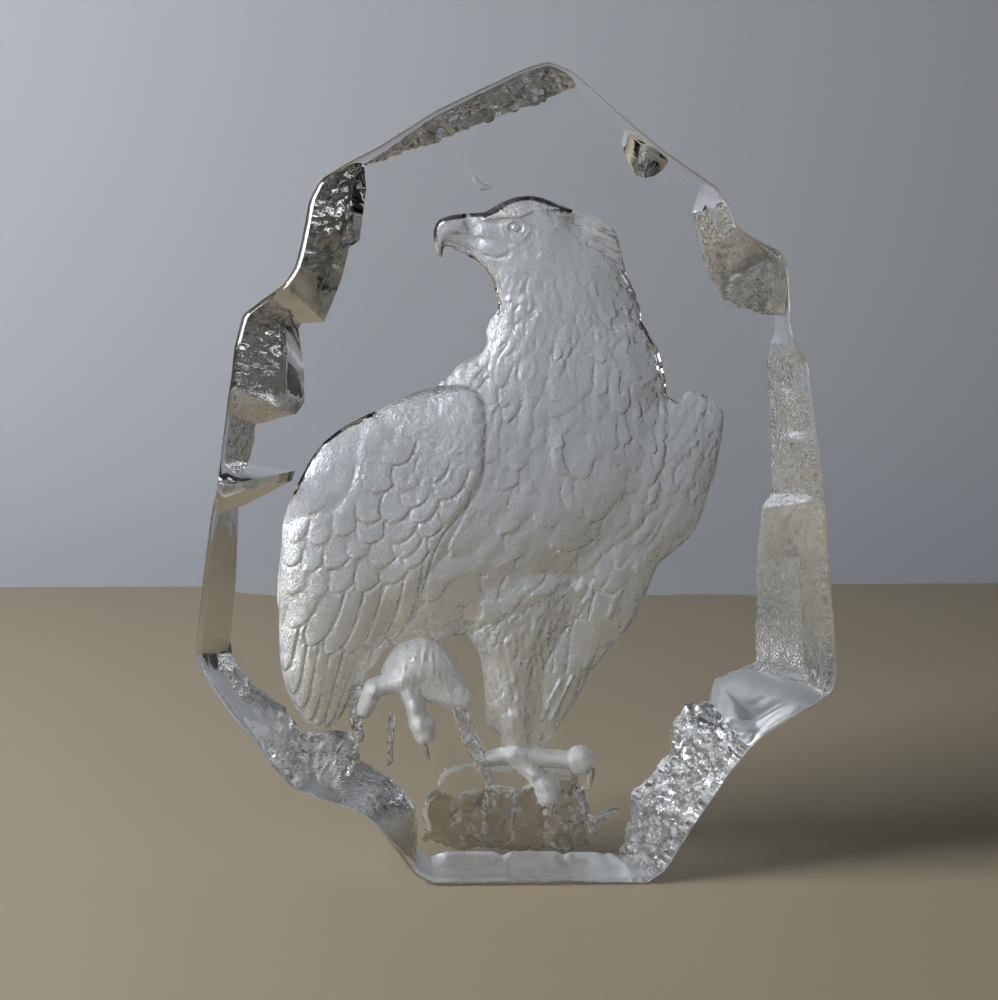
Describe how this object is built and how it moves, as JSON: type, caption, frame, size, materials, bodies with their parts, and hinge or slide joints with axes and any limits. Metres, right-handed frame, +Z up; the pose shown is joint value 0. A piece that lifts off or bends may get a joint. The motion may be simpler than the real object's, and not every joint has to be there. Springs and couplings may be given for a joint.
{
  "type": "crystal eagle paperweight",
  "caption": "Upright block of clear crystal with an ice-like broken rim and a perched eagle sunk into its back, seen frosted through a flat polished front.",
  "frame": {"origin": "bottom centre of the bounding box, on the plane of the flat base it stands on", "axes": "+Z up; -Y is the flat polished front that the eagle is seen through; +Y is the back with the recess; +X is to the right as seen from the front"},
  "size_m": [0.1812, 0.045, 0.23],
  "materials": {
    "lead_crystal": "clear lead crystal: polished front and back, cast and chipped rim, frosted eagle recess"
  },
  "bodies": {
    "root": {"crystal_block": "lead_crystal"}
  },
  "joints": []
}
